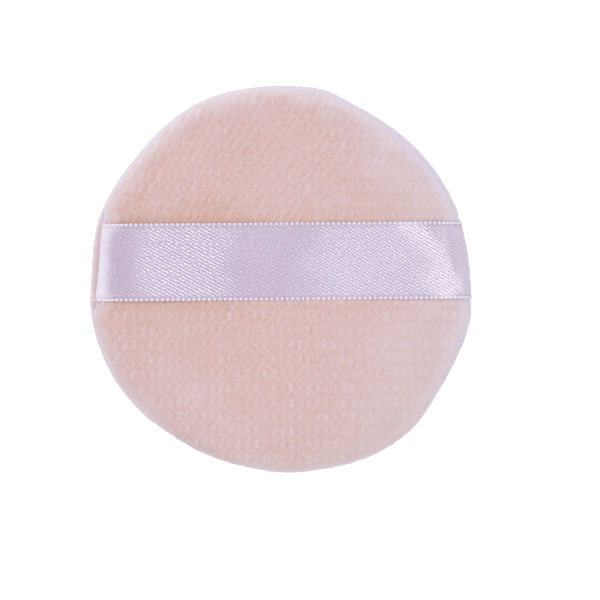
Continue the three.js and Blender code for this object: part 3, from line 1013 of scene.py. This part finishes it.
def twill(s, t, from_end):
    """How far the falling and the rising twill rows show at a place on the ribbon, and its painted highlight.
    """
    place = s + 2.2 * MM * patches(s, t, 5 * MM, seed=31)
    slant = place + 0.38 * t + 0.55 * np.maximum(t - 3 * MM, 0)
    # The rows show most and the painted highlight is brightest in zones along the ribbon: on its left flat, on
    # its right half and on the band where it turns down at the right
    falling = 0.24 + 0.75 * zone(place, -30.5, -26, -16, -8) + 0.14 * zone(place, 2, 14, 29, 33)
    falling += 0.45 * zone(slant, 28.5, 31, 33, 35)
    rising = 0.2 + 0.2 * zone(place, 2, 13, 29, 33) + 0.12 * zone(place, -32, -28.5, -24, -18)
    lustre = 0.15 * zone(place, -31.5, -26.5, -16, -8) + 0.25 * zone(place, -1, 13, 34, 37)
    lustre += 0.34 * zone(slant, 26, 31, 33, 35.5) + 0.16 * ease(place, 31.5 * MM, 34 * MM)
    # Where it goes down into the seam the ribbon is smooth: plain on the right, with a painted highlight that
    # makes up for the shade of its steep end, and with a brighter painted highlight on the left, where the
    # fold is uneven and narrower in its middle than at the corners
    fold = from_end * (1.35 - 0.5 * (t / STRAP_HALF) ** 2) + 0.6 * MM * patches(s, t, 2.5 * MM, seed=41)
    left_end = 0.6 * fade(fold, 0, 3.8 * MM) + 0.22 * fade(fold, 0.5 * MM, 6 * MM)
    right_end = 0.22 * fade(from_end, 2.4 * MM, 3.4 * MM)
    edge = STRAP_HALF - np.abs(t)
    lustre += np.where(s < 0, left_end, right_end) - 0.2 * fade(edge, 0.8 * MM, 1.1 * MM)
    plain = (0.1 + 0.9 * ease(from_end, 2.2 * MM, 3.4 * MM)) * ease(edge, 0.7 * MM, 1.0 * MM)
    return falling * plain, rising * plain, lustre


def strap_half(puff, ribbon, name, side, half_length):
    """One half of the ribbon, woven flat as a grid and then laid over the pad and into the seam."""
    cells, lanes = round(half_length / RIBBON_CELL), round(STRAP_WIDTH / RIBBON_CELL_ACROSS)
    strap = added(
        bpy.ops.mesh.primitive_grid_add, name, x_subdivisions=cells, y_subdivisions=lanes, size=2)
    unit = points_of(strap)
    along = np.linspace(0, half_length, cells + 1)
    across = np.linspace(-STRAP_HALF, STRAP_HALF, lanes + 1)
    grid = strap_rows(puff, ribbon, side, along, across)
    i, j = (np.rint((unit[:, axis] + 1) / 2 * count).astype(int) for axis, count in ((0, cells), (1, lanes)))
    move_points(strap, grid[i, j])
    s, t = side * along[i], across[j]
    if side < 0:
        edit(strap)
        bpy.ops.mesh.flip_normals()
        done()
    reach = np.abs(grid[:, :, 0])
    falling, rising, lustre = twill(s, t, (reach.max(axis=0) - reach)[i, j])
    rows = falling * np.sin(TURN * (s / ribbon.falling_run + t / ribbon.falling_rise))
    rows += rising * np.sin(TURN * (-s / ribbon.rising_run + t / ribbon.rising_rise))
    move_points(strap, points_of(strap) + normals_of(strap) * (ribbon.weave_relief * rows)[:, None])
    keep_values(strap, weave=np.column_stack([s, t, np.zeros_like(s)]), falling=falling, rising=rising,
                lustre=lustre)
    finish_with(strap, "SOLIDIFY", thickness=ribbon.thickness, offset=0)
    return strap


def selvedge_half(puff, ribbon, name, side, half_length):
    """The weft loops along both edges of one half of the ribbon: one bead is modelled and copied along."""
    segments, rings = BEAD_FACETS
    bead = added(bpy.ops.mesh.primitive_uv_sphere_add, "bead", segments=segments, ring_count=rings,
                 radius=ribbon.bead / 2)
    edit(bead)
    bpy.ops.transform.resize(value=BEAD_SHAPE)
    done()
    along = np.arange(ribbon.bead_pitch / 2, half_length - ribbon.tail, ribbon.bead_pitch)
    edge = STRAP_HALF - BEAD_INSET * ribbon.bead
    lines, beyond = (
        strap_rows(puff, ribbon, side, places, [-edge, edge]).transpose(1, 0, 2)
        for places in (along, along + BEAD_AHEAD))
    sideways = Vector((0, 1, 0))
    beads = []
    for line, ahead in zip(lines, beyond):
        reach = np.abs(line[:, 0])
        outside = np.arange(len(line)) <= reach.argmax()
        # Towards the seam the loops are drawn out into an even edge
        drawn_out = fade(reach.max() - reach, 2.5 * MM, 5.5 * MM)
        for here, there, drawn in zip(line[outside], ahead[outside], drawn_out[outside]):
            forward = Vector(there - here).normalized()
            up = forward.cross(sideways) * side
            moved = Matrix.Translation(Vector(here) + BEAD_LIFT * ribbon.thickness * up)
            turned = Matrix((forward * side, sideways, up)).transposed().to_4x4()
            shape = Matrix.Diagonal((1 + drawn, 1 - 0.25 * drawn, 1 - 0.35 * drawn, 1))
            beads.append(copy_of(bead, name))
            beads[-1].matrix_world = moved @ turned @ shape
    bpy.data.objects.remove(bead)
    pick(*beads)
    bpy.ops.object.join()
    bpy.ops.object.transform_apply()
    return beads[0]


class PUFF_OT_ribbon(Operator):
    """Models the satin ribbon strap in two halves that meet in its middle, each with its selvedges"""
    bl_idname = "puff.ribbon"
    bl_label = "Ribbon strap"

    def execute(self, context):
        puff, ribbon = context.scene.puff_sizes, context.scene.puff_ribbon
        colours = context.scene.puff_colours
        satin, loops = satin_material(colours, ribbon), selvedge_material(colours)
        half_length = strap_length(puff, ribbon)
        for end, side in (("left", -1), ("right", 1)):
            strap = strap_half(puff, ribbon, "ribbon_" + end, side, half_length)
            edging = selvedge_half(puff, ribbon, "selvedge_" + end, side, half_length)
            for piece, material in ((strap, satin), (edging, loops)):
                finished(piece, None, material, "ribbon_strap")
                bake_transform(piece)
        return {"FINISHED"}


# The sewing

class PUFF_OT_threads(Operator):
    """Gives the seam's threads their finish"""
    bl_idname = "puff.threads"
    bl_label = "Sewing threads"

    def execute(self, context):
        thread = thread_material(context.scene.puff_colours)
        for name in ("seam_needle_thread", "seam_bobbin_thread", "closing_thread"):
            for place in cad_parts[name].material_slots:
                place.material = thread
        return {"FINISHED"}


# The stage

def seen_white(tree, lit, strength):
    """Light that only the camera and mirrors see, added to a lit surface so that it reads as white."""
    rays = add(tree, "LightPath", out="Is Camera Ray")
    for kind in ("Is Glossy Ray", "Is Transmission Ray"):
        rays = add(tree, "Math", [rays, add(tree, "LightPath", out=kind)], operation="MAXIMUM")
    glow = add(tree, "Math", [rays, strength], operation="MULTIPLY")
    white = add(tree, "Emission", {"Color": (1, 1, 1, 1), "Strength": glow})
    return add(tree, "AddShader", [lit, white])


def floor_material():
    """Matt white card that keeps the puff's shadow."""
    material, tree, shader = surface("White card, matt")
    shader.inputs["Base Color"].default_value = linear("f4f4f4")
    shader.inputs["Roughness"].default_value = 0.95
    card = seen_white(tree, shader.outputs[0], FLOOR_GLOW)
    tree.links.new(card, tree.nodes["Material Output"].inputs["Surface"])
    return material


def soft_lamp(name, place, size, power, tint):
    """A square studio lamp that faces the puff."""
    bpy.ops.object.light_add(type="AREA", location=place)
    lamp = bpy.context.object
    lamp.name = name
    lamp.rotation_euler = (-Vector(place)).to_track_quat("-Z", "Y").to_euler()
    lamp.data.size = size
    lamp.data.energy = power
    lamp.data.color = linear(tint)[:3]


class PUFF_OT_stage(Operator):
    """Sets the white floor, the lamps and the camera"""
    bl_idname = "puff.stage"
    bl_label = "Stage"

    def execute(self, context):
        scene, stage = context.scene, context.scene.puff_stage
        floor = added(bpy.ops.mesh.primitive_plane_add, "floor", size=FLOOR_SIZE)
        floor.data.materials.append(floor_material())

        world = bpy.data.worlds.new("Studio")
        scene.world = world
        world.use_nodes = True
        tree = world.node_tree
        sky = tree.nodes["Background"]
        sky.inputs["Color"].default_value = linear("f2f2f6")
        sky.inputs["Strength"].default_value = SKY_STRENGTH
        seen = seen_white(tree, sky.outputs[0], SKY_GLOW)
        tree.links.new(seen, tree.nodes["World Output"].inputs["Surface"])
        for name, lamp in LAMPS.items():
            soft_lamp(name, *lamp)

        tilt = stage.tilt
        away = Vector((-math.sin(tilt), 0, math.cos(tilt)))
        right = Vector((math.cos(tilt), 0, math.sin(tilt)))
        up = Vector((0, 1, 0))
        aim = Vector((0, 0, SEAM_LEVEL)) + right * stage.aim_right - up * stage.aim_down
        bpy.ops.object.camera_add(location=aim + away * stage.distance)
        camera = context.object
        turned = Matrix((right, up, away)).transposed()
        camera.rotation_euler = (turned @ Matrix.Rotation(-stage.roll, 3, "Z")).to_euler()
        camera.data.lens = camera.data.sensor_width * stage.distance / stage.view_width
        scene.camera = camera
        scene.view_settings.view_transform = "Standard"
        return {"FINISHED"}


class PUFF_PT_panel(Panel):
    """Lists the pieces of the puff and the sizes and colours that they are made from"""
    bl_idname = "PUFF_PT_panel"
    bl_label = "Powder puff"
    bl_space_type = "VIEW_3D"
    bl_region_type = "UI"
    bl_category = "Puff"

    def draw(self, context):
        for operator in OPERATORS:
            self.layout.operator(operator.bl_idname)
        for name, group in GROUPS.items():
            box = self.layout.box()
            settings = getattr(context.scene, name)
            for setting in group.__annotations__:
                box.prop(settings, setting)


OPERATORS = (PUFF_OT_covers, PUFF_OT_foam, PUFF_OT_ribbon, PUFF_OT_threads, PUFF_OT_stage)
GROUPS = {
    "puff_sizes": PuffSizes,
    "puff_ribbon": RibbonSizes,
    "puff_colours": PuffColours,
    "puff_stage": StageSizes,
}


def register():
    for item in (*GROUPS.values(), *OPERATORS, PUFF_PT_panel):
        bpy.utils.register_class(item)
    for name, group in GROUPS.items():
        setattr(bpy.types.Scene, name, PointerProperty(type=group))


def unregister():
    for name in GROUPS:
        delattr(bpy.types.Scene, name)
    for item in reversed((*GROUPS.values(), *OPERATORS, PUFF_PT_panel)):
        bpy.utils.unregister_class(item)


def main():
    register()
    bpy.ops.puff.foam()
    bpy.ops.puff.covers()
    bpy.ops.puff.ribbon()
    bpy.ops.puff.threads()
    bpy.ops.puff.stage()


if __name__ == "__main__":
    main()
